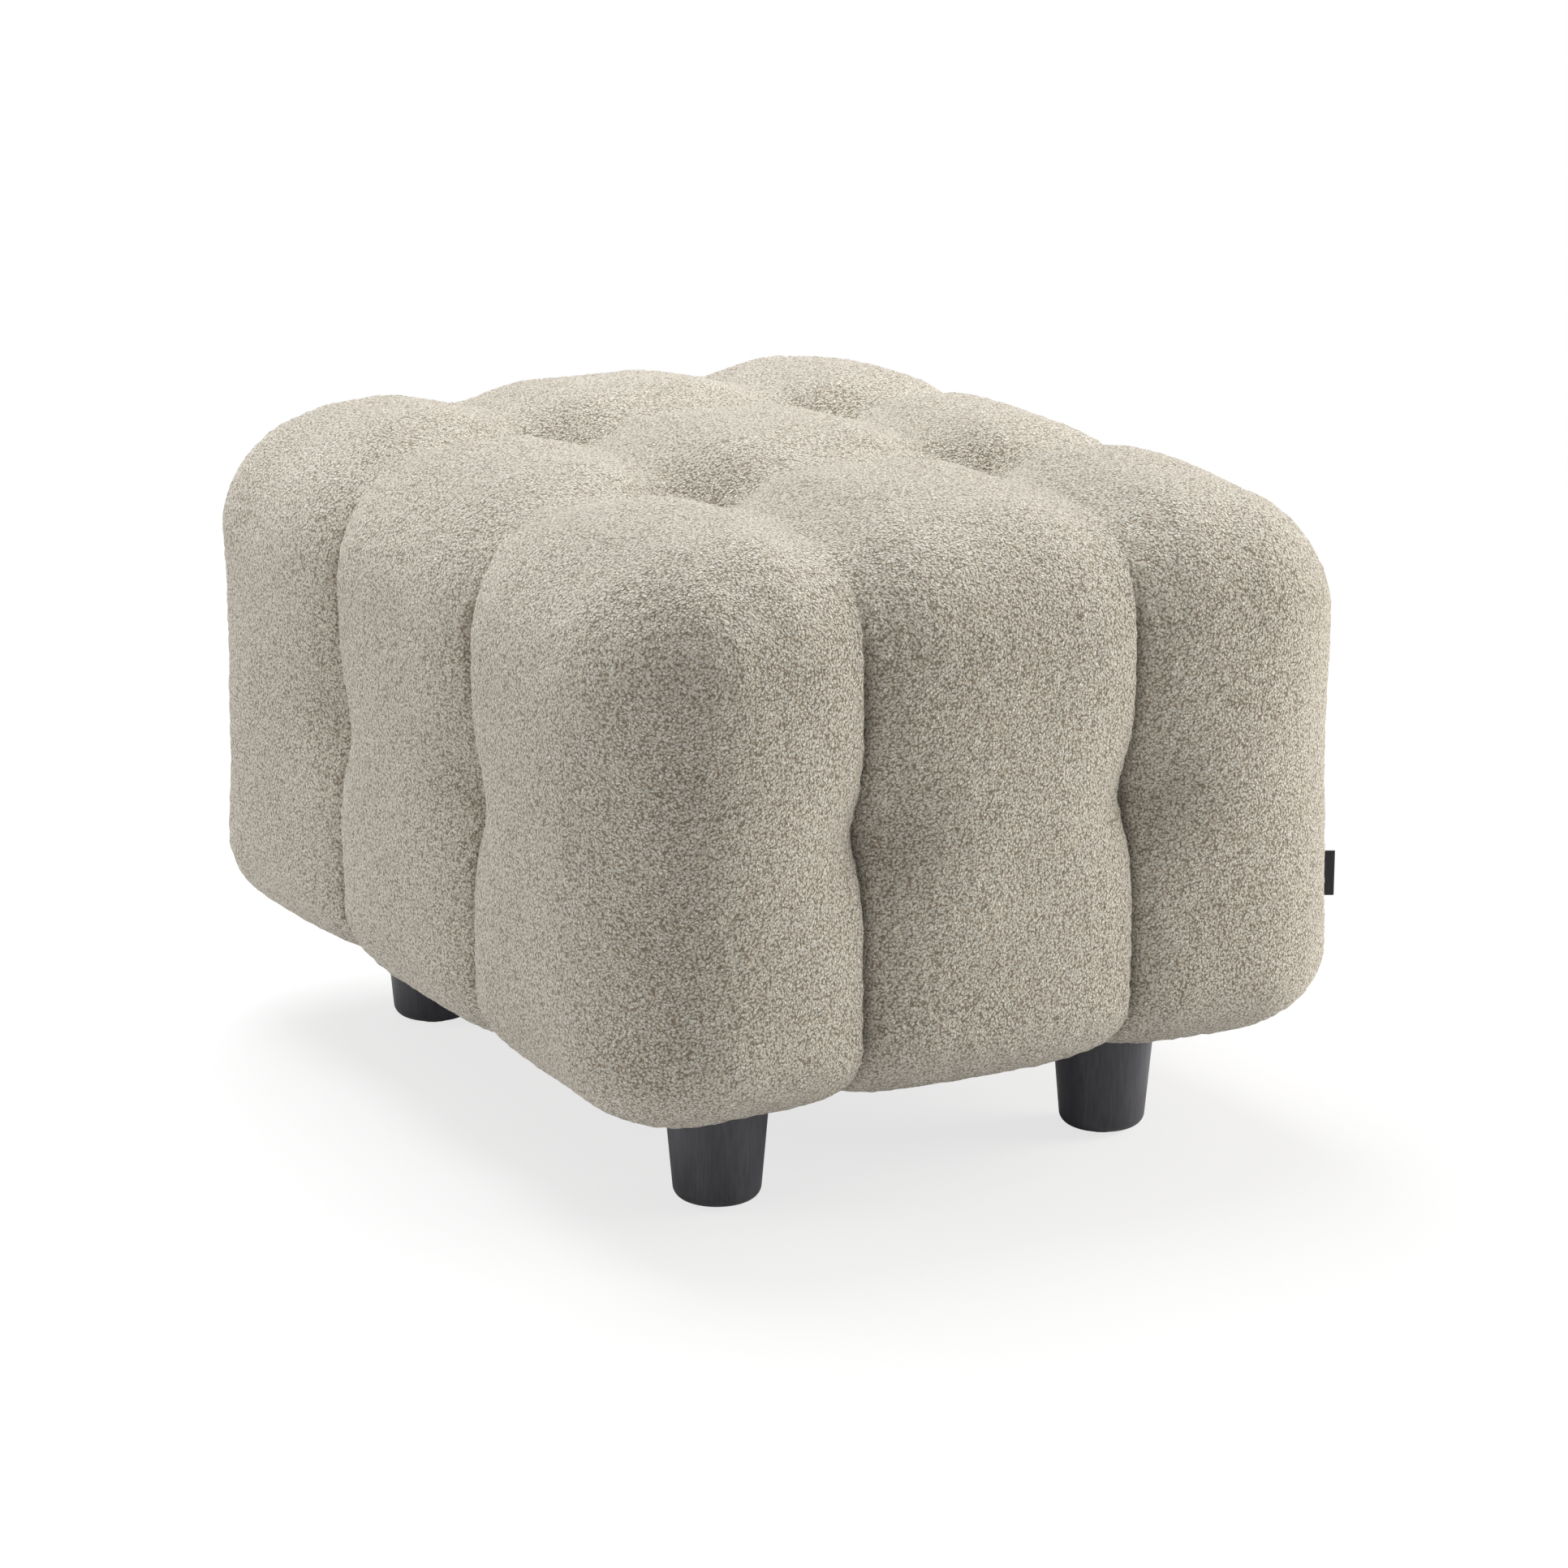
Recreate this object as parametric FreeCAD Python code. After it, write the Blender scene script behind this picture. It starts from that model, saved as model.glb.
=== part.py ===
import FreeCAD, Part
import math
import os
from FreeCAD import Vector

# An upholstered footstool: a boucle cover quilted into pillows over a foamed timber box on four turned legs.
# Millimetres. X runs across the short side, Y along the long side, Z up, and the floor is Z = 0.

# Overall sizes
seat_width = 530.0
seat_length = 650.0
seat_height = 430.0
underside = 73.0

# Channels that part the top into nine pillows and run down each side
channel_x = 94.0
channel_y = 99.0
channel_depth = 21.0
crown_channel_depth = 28.0
hem_channel_depth = 12.0
top_channel_depth = 26.0

# Sewn tufts: where the side channels are drawn in, and the pits at the crossings on top
tuft_height = 250.0
tuft_pull = 9.0
tuft_reach = 36.0
pit_depth = 16.0
pit_diameter = 11.0

# Roundings of the padding
corner_radius = 81.0
bottom_roll = 55.0
top_roll = 80.0
roll_turn = 72.0
pillow_roll = 60.0
pillow_turn = 74.0
crossing_radius = 22.0
crossing_growth = 0.2
face_turn = 6.0
shoulder_turn = 80.0
crown_drop = 4.5
body_steps = (0.0, 0.4, 0.75, 1.0)
pillow_steps = (0.0, 28.0, 52.0, 74.0)

# Padding and the timber box inside it
side_pad = 50.0
top_foam_thickness = 60.0
side_foam_thickness = 18.0
panel_thickness = 3.0
deck_thickness = 12.0
deck_underside = 300.0
frame_bottom = 86.0
rail_thickness = 22.0
bottom_rail_height = 45.0
patch_rail_clearance = 3.0
cross_rail_height = 60.0
post_side = 38.0
block_side = 68.0
block_height = 40.0

# Turned-in hem of the cover and the dust cover stapled over it
hem_thickness = 3.0
hem_width_x = 16.0
hem_width_y = 11.0
recess_margin = 1.5
dust_cover_thickness = 1.0
dust_cover_setback = 2.5
dust_cover_leg_clearance = 2.0
staple_width = 10.0
staple_wire = 0.8
staple_leg = 9.0
hem_staple_margin = 26.0
dust_staple_margin = 54.0
long_row_count = 3
short_row_count = 2

# Turned legs, their bolts and glides
leg_inset_x = 32.0
leg_inset_y = 26.0
leg_top_diameter = 69.0
leg_foot_diameter = 55.0
leg_flats = 32
foot_edge_radius = 8.0
glide_diameter = 26.0
glide_thickness = 3.0
pin_diameter = 3.0
pin_length = 14.0
bolt_diameter = 8.0
bolt_in_leg = 34.0
bolt_above_block = 4.0
nut_flange_side = 20.0
nut_flange_thickness = 1.6
nut_barrel_diameter = 10.0
nut_barrel_length = 10.0
fit = 0.3

# Tuft ties and their anchor patches
tie_width = 2.4
tie_bite = 6.0
patch_side = 18.0
patch_thickness = 2.0

# Fabric tab beside the corner
tab_height = 29.0
tab_reach = 9.0
tab_root = 5.0
tab_thickness = 1.6
tab_bottom = 158.0
tab_turn = 28.0

half_x = seat_width / 2
half_y = seat_length / 2
cavity_x = half_x - side_pad
cavity_y = half_y - side_pad
frame_x = cavity_x - side_foam_thickness - panel_thickness
frame_y = cavity_y - side_foam_thickness - panel_thickness
inner_x = frame_x - rail_thickness
inner_y = frame_y - rail_thickness
leg_x = inner_x - leg_inset_x
leg_y = inner_y - leg_inset_y
hem_opening_x = frame_x - hem_width_x
hem_opening_y = frame_y - hem_width_y
deck_top = deck_underside + deck_thickness
top_rail_height = deck_underside - tuft_height - patch_side / 2 - patch_rail_clearance
cavity_top = deck_top + top_foam_thickness
crown_plane = seat_height - top_channel_depth
corner_top = seat_height - 2 * crown_drop
side_top = seat_height - crown_drop
low_side = underside + bottom_roll
high_side = corner_top - top_roll
hem_bottom = frame_bottom - hem_thickness
dust_top = hem_bottom - staple_wire
dust_bottom = dust_top - dust_cover_thickness

X = Vector(1, 0, 0)
Y = Vector(0, 1, 0)
Z = Vector(0, 0, 1)
ORIGIN = Vector(0, 0, 0)
SIGNS = (-1, 1)
CORNERS = [(sx, sy) for sx in SIGNS for sy in SIGNS]


# Small helpers

def block(x0, x1, y0, y1, z0, z1):
    """A box between two corners."""
    return Part.makeBox(x1 - x0, y1 - y0, z1 - z0, Vector(x0, y0, z0))


def ring(radius, z, flats):
    """Points round a circle at a height, the first repeated at the end."""
    turns = [math.radians(360.0 * (i % flats) / flats) for i in range(flats + 1)]
    return [Vector(radius * math.cos(turn), radius * math.sin(turn), z) for turn in turns]


def rod(diameter, start, end, flats=16):
    """An upright round rod from one point up to another, drawn with narrow flats to stay light."""
    solid = Part.Face(Part.makePolygon(ring(diameter / 2, 0, flats))).extrude(end - start)
    solid.translate(start)
    return solid


def arc(a, b, c):
    """The edge of the circle through three points."""
    return Part.Arc(a, b, c).toShape()


def mirrored(shape, sx, sy):
    """A copy on the side of the stool that the two signs name."""
    copy = shape.copy()
    if sx < 0:
        copy = copy.mirror(ORIGIN, X)
    if sy < 0:
        copy = copy.mirror(ORIGIN, Y)
    return copy


def quarters(shape):
    """The four mirrored copies of a piece modelled in the +X +Y quarter."""
    return [mirrored(shape, sx, sy) for sx, sy in CORNERS]


def group(shapes):
    """Separate solids kept as one node."""
    return Part.makeCompound(shapes)


# The quilted form: outlines of arcs at each height, lofted

def roll_in(turn):
    """How far a rounded edge has drawn in after turning through an angle."""
    return corner_radius * (1 - math.cos(turn))


def side_inset(z):
    """How far the pillows' faces stand inside the full size at a height."""
    if z < low_side:
        rise = (low_side - z) / bottom_roll * math.sin(math.radians(roll_turn))
        return roll_in(math.asin(rise))
    if z > high_side:
        return roll_in(math.asin((z - high_side) / top_roll))
    return 0.0


def side_depth(z):
    """Depth of the side channels at a height: shallow at the hem, drawn in at the tuft, deep at the crown."""
    tuft = tuft_pull * math.exp(-(((z - tuft_height) / tuft_reach) ** 2))
    if z < low_side:
        share = (z - underside) / bottom_roll
        return hem_channel_depth + (channel_depth - hem_channel_depth) * share + tuft
    if z > high_side:
        share = (z - high_side) / (crown_plane - high_side)
        return channel_depth + (crown_channel_depth - channel_depth) * share ** 2 + tuft
    return channel_depth + tuft


def half_pillow(apex, along, outward, span, depth):
    """Points from the middle of a pillow's face to its channel: a gentle face arc, then a tight shoulder arc."""
    f = math.radians(face_turn)
    s = math.radians(shoulder_turn)
    sweep = math.sin(s) - math.sin(f)
    fall = math.cos(f) - math.cos(s)
    bow = 1 - math.cos(f)
    shoulder = (depth * math.sin(f) - span * bow) / (fall * math.sin(f) - sweep * bow)
    face = (span - shoulder * sweep) / math.sin(f)
    points = [apex]
    for turn in (f / 2, f):
        points.append(apex + along * (face * math.sin(turn)) - outward * (face * (1 - math.cos(turn))))
    join = points[-1]
    for turn in ((f + s) / 2, s):
        step = shoulder * (math.sin(turn) - math.sin(f))
        drop = shoulder * (math.cos(f) - math.cos(turn))
        points.append(join + along * step - outward * drop)
    return points


def arcs(points):
    """The face arc and the shoulder arc of half a pillow, from whichever end the points start."""
    return [arc(*points[0:3]), arc(*points[2:5])]


def corner_arc(centre, start, end, radius):
    """A quarter turn about a centre, from one direction to the other."""
    middle = centre + (start + end) * (radius * math.sqrt(0.5))
    return arc(centre + start * radius, middle, centre + end * radius)


def body_outline(z):
    """The stool's outline at a height: three pillows to a side, the outer ones turning the corners."""
    inset = side_inset(z)
    depth = side_depth(z)
    radius = corner_radius - inset
    sides = (
        (X, Y, half_x, half_y, channel_x, channel_y),
        (Y, -X, half_y, half_x, channel_y, channel_x),
        (-X, -Y, half_x, half_y, channel_x, channel_y),
        (-Y, X, half_y, half_x, channel_y, channel_x),
    )
    edges = []
    for outward, along, reach, length, next_channel, channel in sides:
        level = Z * z
        face = level + outward * (reach - inset)
        edges += arcs(half_pillow(face, -along, outward, channel, depth)[::-1])
        edges += arcs(half_pillow(face, along, outward, channel, depth))
        turn = length - corner_radius
        edges += arcs(half_pillow(face + along * turn, -along, outward, turn - channel, depth)[::-1])
        centre = level + outward * (reach - corner_radius) + along * turn
        edges.append(corner_arc(centre, outward, along, radius))
        span = reach - corner_radius - next_channel
        edges += arcs(half_pillow(centre + along * radius, -outward, along, span, depth))
    return Part.Wire(edges)


def pillow_section(share, top):
    """Height, seam inset, side inset and channel depth of a top pillow at a share of its rise."""
    z = crown_plane + (top - crown_plane) * share
    seam = pillow_roll * (1 - math.cos(math.asin(share * math.sin(math.radians(pillow_turn)))))
    start = (crown_plane - high_side) / top_roll
    end = math.sin(math.radians(pillow_turn))
    inset = roll_in(math.asin(start + (end - start) * share))
    return z, seam, inset, crown_channel_depth


def crossing_arc(corner, arrive, leave, seam):
    """The rounded corner of a pillow where the channels cross."""
    radius = crossing_radius + crossing_growth * seam
    middle = corner + (arrive + leave) * (radius * (1 - math.sqrt(0.5)))
    return arc(corner + arrive * radius, middle, corner + leave * radius)


def run(edges, start, end):
    """Adds a straight edge to an outline."""
    edges.append(Part.makeLine(start, end))


def corner_pillow_outline(share):
    """Outline of the top pillow at the +X +Y corner."""
    z, seam, inset, depth = pillow_section(share, corner_top)
    inner = Vector(channel_x + seam, channel_y + seam, z)
    centre = Vector(half_x - corner_radius, half_y - corner_radius, z)
    radius = corner_radius - inset
    first = half_pillow(centre + X * radius, -Y, X, centre.y - inner.y, depth)[::-1]
    last = half_pillow(centre + Y * radius, -X, Y, centre.x - inner.x, depth)
    turn = crossing_arc(inner, Y, X, seam)
    edges = [turn]
    run(edges, turn.Vertexes[1].Point, first[0])
    edges += arcs(first)
    edges.append(corner_arc(centre, X, Y, radius))
    edges += arcs(last)
    run(edges, last[-1], turn.Vertexes[0].Point)
    return Part.Wire(edges)


def side_pillow_outline(share, outward, along, reach, seam_line, channel):
    """Outline of the top pillow in the middle of a side."""
    z, seam, inset, depth = pillow_section(share, side_top)
    level = Z * z
    span = channel - seam
    face = level + outward * (reach - inset)
    first = half_pillow(face, -along, outward, span, depth)[::-1]
    last = half_pillow(face, along, outward, span, depth)
    near = level + outward * (seam_line + seam) - along * span
    far = near + along * (2 * span)
    enter = crossing_arc(near, along, outward, seam)
    leave = crossing_arc(far, outward, -along, seam)
    edges = [enter]
    run(edges, enter.Vertexes[1].Point, first[0])
    edges += arcs(first) + arcs(last)
    run(edges, last[-1], leave.Vertexes[0].Point)
    edges.append(leave)
    run(edges, leave.Vertexes[1].Point, enter.Vertexes[0].Point)
    return Part.Wire(edges)


def centre_pillow_outline(share):
    """Outline of the pillow in the middle of the top."""
    z, seam, inset, depth = pillow_section(share, seat_height)
    x = channel_x - seam
    y = channel_y - seam
    corners = (
        (Vector(-x, -y, z), Y, X),
        (Vector(x, -y, z), -X, Y),
        (Vector(x, y, z), -Y, -X),
        (Vector(-x, y, z), X, -Y),
    )
    turns = [crossing_arc(corner, arrive, leave, seam) for corner, arrive, leave in corners]
    edges = []
    for turn, after in zip(turns, turns[1:] + turns[:1]):
        edges.append(turn)
        run(edges, turn.Vertexes[1].Point, after.Vertexes[0].Point)
    return Part.Wire(edges)


def skin(outlines):
    """Side faces of a ruled loft through outlines, its straight walls turned into true planes."""
    faces = []
    for face in Part.makeLoft(outlines, False, True).Faces:
        if face.findPlane(0.0001):
            corners = [vertex.Point for vertex in face.OuterWire.OrderedVertexes]
            face = Part.Face(Part.makePolygon(corners + corners[:1]))
        faces.append(face)
    return faces


def pillow(outline):
    """Faces of a top pillow, from the channels up to the flat of its crown."""
    full = math.sin(math.radians(pillow_turn))
    outlines = [outline(math.sin(math.radians(turn)) / full) for turn in pillow_steps]
    return skin(outlines) + [Part.Face(outlines[-1])]


def crossing_floor():
    """The small flat between four pillows where the channels cross."""
    corner = Vector(channel_x, channel_y, crown_plane)
    turns = []
    for arrive, leave in ((Y, X), (-X, Y), (-Y, -X), (X, -Y)):
        turns.append(crossing_arc(corner, arrive, leave, 0.0))
    return Part.Face(Part.Wire(Part.sortEdges(turns)[0]))


def body_heights():
    """Heights of the outlines: close together where the padding rolls under, at the tufts and at the crown."""
    roll = math.radians(roll_turn)
    heights = []
    for step in body_steps:
        heights.append(low_side - bottom_roll * math.sin(roll * (1 - step)) / math.sin(roll))
    for step in (-1.2, -0.6, 0.0, 0.6, 1.2):
        heights.append(tuft_height + step * tuft_reach)
    rise = (crown_plane - high_side) / 3
    for step in (0, 1, 2, 3):
        heights.append(high_side + step * rise)
    return heights


def quilted_form():
    """The whole upholstered form as one closed solid, its lofted faces sewn together."""
    outlines = [body_outline(z) for z in body_heights()]
    top = pillow(centre_pillow_outline)
    quarter = pillow(corner_pillow_outline) + [crossing_floor()]
    for face in quarter:
        top += quarters(face)
    for sign in SIGNS:
        for outward, reach, seam_line, channel in (
            (X * sign, half_x, channel_x, channel_y),
            (Y * sign, half_y, channel_y, channel_x),
        ):
            along = Z.cross(outward)
            top += pillow(
                lambda share: side_pillow_outline(share, outward, along, reach, seam_line, channel)
            )
    shell = Part.Shell(skin(outlines) + [Part.Face(outlines[0])] + top)
    shell.sewShape()
    return Part.Solid(shell)


# Places of the sewn ties

def tie_places():
    """Start of each tie at the box, and the direction it runs out to the cover."""
    places = []
    for sx, sy in CORNERS:
        places.append((Vector(sx * channel_x, sy * channel_y, deck_underside), Z))
        places.append((Vector(sx * frame_x, sy * channel_y, tuft_height), X * sx))
        places.append((Vector(sx * channel_x, sy * frame_y, tuft_height), Y * sy))
    return places


def square_bar(start, direction, side, length):
    """A square bar that starts at a point and runs along one of the axes."""
    half = side / 2
    reach = direction * length
    low = Vector(*(min(0.0, value) for value in reach))
    size = Vector(*(abs(value) for value in reach))
    for name in ("x", "y", "z"):
        if abs(getattr(direction, name)) < 0.5:
            setattr(low, name, -half)
            setattr(size, name, side)
    return Part.makeBox(size.x, size.y, size.z, start + low)


def ties():
    """The twine of each sewn tuft, from its patch through the padding into the back of the cover."""
    bars = []
    for start, direction in tie_places():
        if direction.z > 0.5:
            length = deck_thickness + top_foam_thickness + tie_bite
        else:
            length = panel_thickness + side_foam_thickness + tie_bite
        bars.append(square_bar(start, direction, tie_width, length))
    return group(bars)


def patches():
    """The patches inside the box that the ties are knotted against."""
    return group([square_bar(start, -direction, patch_side, patch_thickness)
                  for start, direction in tie_places()])


# Staples under the box

def staple_rows(long_count, short_count, margin):
    """Middle of each staple along the hem and the direction of its crown."""
    line_x = (hem_opening_x + frame_x) / 2
    line_y = (hem_opening_y + frame_y) / 2
    rows = []
    for side in SIGNS:
        for i in range(long_count):
            y = (inner_y - margin) * (2 * i / (long_count - 1) - 1)
            rows.append((Vector(side * line_x, y, 0), Y))
        for i in range(short_count):
            x = (inner_x - margin) * (2 * i / (short_count - 1) - 1)
            rows.append((Vector(x, side * line_y, 0), X))
    return rows


def staples(rows, crown_top):
    """Wire staples driven upwards, their crowns just below a height."""
    shapes = []
    for middle, along in rows:
        across = Z.cross(along)
        low = middle - along * (staple_width / 2) - across * (staple_wire / 2)
        corner = Vector(*(min(a, b) for a, b in zip(low, middle * 2 - low)))
        size = along * staple_width + across * staple_wire
        crown = Part.makeBox(abs(size.x), abs(size.y), staple_wire, corner + Z * (crown_top - staple_wire))
        legs = []
        for end in SIGNS:
            foot = middle + along * (end * (staple_width - staple_wire) / 2) + Z * crown_top
            legs.append(square_bar(foot, Z, staple_wire, staple_leg))
        shapes.append(crown.multiFuse(legs).removeSplitter())
    return group(shapes)


def hem_staples():
    return staples(staple_rows(long_row_count + 1, short_row_count + 1, hem_staple_margin), hem_bottom)


def dust_staples():
    return staples(staple_rows(long_row_count, short_row_count, dust_staple_margin), dust_bottom)


# The timber box

def rails(bottom, height):
    """Four rails: the long ones run the full length and the short ones stand between them."""
    top = bottom + height
    return {
        "right": block(inner_x, frame_x, -frame_y, frame_y, bottom, top),
        "left": block(-frame_x, -inner_x, -frame_y, frame_y, bottom, top),
        "back": block(-inner_x, inner_x, inner_y, frame_y, bottom, top),
        "front": block(-inner_x, inner_x, -frame_y, -inner_y, bottom, top),
    }


def leg_axis(sx, sy):
    return Vector(sx * leg_x, sy * leg_y, 0)


def leg_block(sx, sy):
    """The hardwood block glued in a corner, bored for a bolt and let in for the flange of its nut."""
    top = frame_bottom + block_height
    solid = block(inner_x - block_side, inner_x, inner_y - block_side, inner_y, frame_bottom, top)
    axis = leg_axis(sx, sy)
    bore = rod(nut_barrel_diameter + 2 * fit, axis + Z * frame_bottom, axis + Z * top)
    seat = square_bar(axis + Z * top, -Z, nut_flange_side + 2 * fit, nut_flange_thickness)
    return mirrored(solid, sx, sy).cut(bore.fuse(seat))


def corner_post(sx, sy):
    """The post that stands on a leg block and carries the deck's corner."""
    solid = block(inner_x - post_side, inner_x, inner_y - post_side, inner_y,
                  frame_bottom + block_height, deck_underside)
    return mirrored(solid, sx, sy)


def side_panels(holes):
    """Thin boards on the box's sides that back the foam."""
    long_panel = block(frame_x, frame_x + panel_thickness, -frame_y - panel_thickness,
                       frame_y + panel_thickness, frame_bottom, deck_underside)
    short_panel = block(-frame_x, frame_x, frame_y, frame_y + panel_thickness, frame_bottom, deck_underside)
    return faced(long_panel, short_panel, holes)


def side_foams(holes):
    """Slabs of foam round the box."""
    long_slab = block(frame_x + panel_thickness, cavity_x, -cavity_y, cavity_y, frame_bottom, deck_top)
    inner = frame_x + panel_thickness
    short_slab = block(-inner, inner, frame_y + panel_thickness, cavity_y, frame_bottom, deck_top)
    return faced(long_slab, short_slab, holes)


def faced(long_piece, short_piece, holes):
    """The four pieces round the box, each with its holes."""
    return {
        "right": long_piece.cut(holes),
        "left": long_piece.mirror(ORIGIN, X).cut(holes),
        "back": short_piece.cut(holes),
        "front": short_piece.mirror(ORIGIN, Y).cut(holes),
    }


# Legs and their fixings

def turned(rings):
    """A turned solid drawn with narrow flats, through rings given by radius and height from the bottom up."""
    circles = [ring(radius, z, leg_flats) for radius, z in rings]
    faces = [Part.Face(Part.makePolygon(circles[0])), Part.Face(Part.makePolygon(circles[-1]))]
    for low, high in zip(circles, circles[1:]):
        for i in range(leg_flats):
            corners = [low[i], low[i + 1], high[i + 1], high[i], low[i]]
            faces.append(Part.Face(Part.makePolygon(corners)))
    shell = Part.Shell(faces)
    shell.sewShape()
    return Part.Solid(shell)


def leg(sx, sy):
    """A turned leg that tapers to a rounded foot, bored for its bolt and for the pin of its glide."""
    foot = leg_foot_diameter / 2
    sag = foot_edge_radius * (1 - math.sqrt(0.5))
    solid = turned((
        (foot - foot_edge_radius, glide_thickness),
        (foot - sag, glide_thickness + sag),
        (foot, glide_thickness + foot_edge_radius),
        (leg_top_diameter / 2, frame_bottom),
    ))
    bolt_bore = rod(bolt_diameter + 2 * fit, Z * (frame_bottom - bolt_in_leg), Z * frame_bottom)
    pin_bore = rod(pin_diameter + 2 * fit, Z * glide_thickness, Z * (glide_thickness + pin_length))
    solid = solid.cut(group([bolt_bore, pin_bore]))
    solid.translate(leg_axis(sx, sy))
    return solid


def glides():
    """A nailed glide under each leg: a disc and its pin."""
    shapes = []
    for sx, sy in CORNERS:
        axis = leg_axis(sx, sy)
        disc = rod(glide_diameter, axis, axis + Z * glide_thickness)
        pin = rod(pin_diameter, axis, axis + Z * (glide_thickness + pin_length))
        shapes.append(disc.fuse(pin))
    return group(shapes)


def hanger_bolts():
    """One bolt to a leg, from the bottom of its bore up through the nut."""
    bottom = frame_bottom - bolt_in_leg
    top = frame_bottom + block_height - bolt_above_block
    return group([rod(bolt_diameter, leg_axis(sx, sy) + Z * bottom, leg_axis(sx, sy) + Z * top)
                  for sx, sy in CORNERS])


def tee_nuts():
    """Flanged nuts let into the tops of the leg blocks."""
    top = frame_bottom + block_height
    nuts = []
    for sx, sy in CORNERS:
        axis = leg_axis(sx, sy)
        flange = square_bar(axis + Z * top, -Z, nut_flange_side, nut_flange_thickness)
        low = axis + Z * (top - nut_flange_thickness - nut_barrel_length)
        barrel = rod(nut_barrel_diameter, low, axis + Z * top)
        bore = rod(bolt_diameter + fit, low, axis + Z * top)
        nuts.append(flange.fuse(barrel).cut(bore))
    return group(nuts)


# Cover, dust cover and tab

def tab_frame():
    """Point on the rounded corner where the tab leaves the cover, and the direction it points."""
    turn = math.radians(tab_turn)
    out = Vector(math.cos(turn), -math.sin(turn), 0)
    centre = Vector(half_x - corner_radius, -(half_y - corner_radius), tab_bottom)
    return centre + out * corner_radius, out


def label_tab():
    """A folded fabric tab that stands out from the corner, its root sewn into the cover."""
    place, out = tab_frame()
    across = Z.cross(out)
    half = tab_thickness / 2
    tip = out * (tab_reach - half)
    root = out * -tab_root
    edges = [
        Part.makeLine(place + tip - across * half, place + root - across * half),
        Part.makeLine(place + root - across * half, place + root + across * half),
        Part.makeLine(place + root + across * half, place + tip + across * half),
        arc(place + tip + across * half, place + out * tab_reach, place + tip - across * half),
    ]
    return Part.Face(Part.Wire(edges)).extrude(Z * tab_height)


def quilted_cover(ties_shape, staple_shapes):
    """The boucle cover with its filling: the quilted form, hollowed for the box and its foam."""
    hollow = block(-cavity_x, cavity_x, -cavity_y, cavity_y, frame_bottom, cavity_top)
    opening = block(-hem_opening_x, hem_opening_x, -hem_opening_y, hem_opening_y, underside, frame_bottom)
    rim_x = frame_x + recess_margin
    rim_y = frame_y + recess_margin
    recess = block(-rim_x, rim_x, -rim_y, rim_y, underside, hem_bottom)
    pits = [rod(pit_diameter, Vector(sx * channel_x, sy * channel_y, crown_plane - pit_depth),
                Vector(sx * channel_x, sy * channel_y, crown_plane)) for sx, sy in CORNERS]
    cover = quilted_form().cut(group(pits))
    cover = cover.cut(hollow.multiFuse([opening, recess]))
    return cover.cut(group([ties_shape, staple_shapes, label_tab()]))


def dust_cover(staple_shapes):
    """The sheet that closes the underside, with a round hole for each leg."""
    x = frame_x + recess_margin - dust_cover_setback
    y = frame_y + recess_margin - dust_cover_setback
    sheet = block(-x, x, -y, y, dust_bottom, dust_top)
    diameter = leg_top_diameter + 2 * dust_cover_leg_clearance
    holes = [rod(diameter, leg_axis(sx, sy) + Z * dust_bottom, leg_axis(sx, sy) + Z * dust_top, leg_flats)
             for sx, sy in CORNERS]
    return sheet.cut(group(holes)).cut(staple_shapes)


def main():
    os.makedirs("parts", exist_ok=True)
    twine = ties()
    hem_wire = hem_staples()
    dust_wire = dust_staples()
    wire = group([hem_wire, dust_wire])
    nodes = {
        "quilted_cover": quilted_cover(twine, wire),
        "dust_cover": dust_cover(dust_wire),
        "label_tab": label_tab(),
        "hem_staples": hem_wire,
        "dust_cover_staples": dust_wire,
        "tuft_ties": twine,
        "tuft_patches": patches(),
        "tee_nuts": tee_nuts(),
        "hanger_bolts": hanger_bolts(),
        "glides": glides(),
        "top_foam": block(-cavity_x, cavity_x, -cavity_y, cavity_y, deck_top, cavity_top).cut(twine),
        "deck_board": block(-frame_x - panel_thickness, frame_x + panel_thickness,
                            -frame_y - panel_thickness, frame_y + panel_thickness,
                            deck_underside, deck_top).cut(twine),
        "cross_rail": block(-inner_x, inner_x, -rail_thickness / 2, rail_thickness / 2,
                            deck_underside - cross_rail_height, deck_underside),
    }
    for name, shape in rails(frame_bottom, bottom_rail_height).items():
        nodes["bottom_rail_" + name] = shape.cut(wire)
    for name, shape in rails(deck_underside - top_rail_height, top_rail_height).items():
        nodes["top_rail_" + name] = shape
    for name, shape in side_panels(twine).items():
        nodes["side_panel_" + name] = shape
    for name, shape in side_foams(twine).items():
        nodes["side_foam_" + name] = shape
    for sx, sy in CORNERS:
        name = ("front" if sy < 0 else "back") + "_" + ("left" if sx < 0 else "right")
        nodes["leg_" + name] = leg(sx, sy)
        nodes["leg_block_" + name] = leg_block(sx, sy)
        nodes["corner_post_" + name] = corner_post(sx, sy)
    for name, shape in nodes.items():
        shape.exportStep("parts/" + name + ".step")
        print(name, len(shape.Solids), shape.isValid(), round(shape.Volume / 1000.0, 1))


main()
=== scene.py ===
# %% [markdown]
# # A quilted footstool in looped wool cloth
# The stool is a padded box on four short turned legs. Its cover is quilted: channels part the top into nine
# pillows and run down every side, and a sewn tuft draws each channel in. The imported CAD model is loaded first
# and never moved. The soft pieces are then built over it, in the same metres and the same place.

# %% Load the frame
import math
import bpy
import numpy as np
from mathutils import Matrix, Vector, noise


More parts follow.
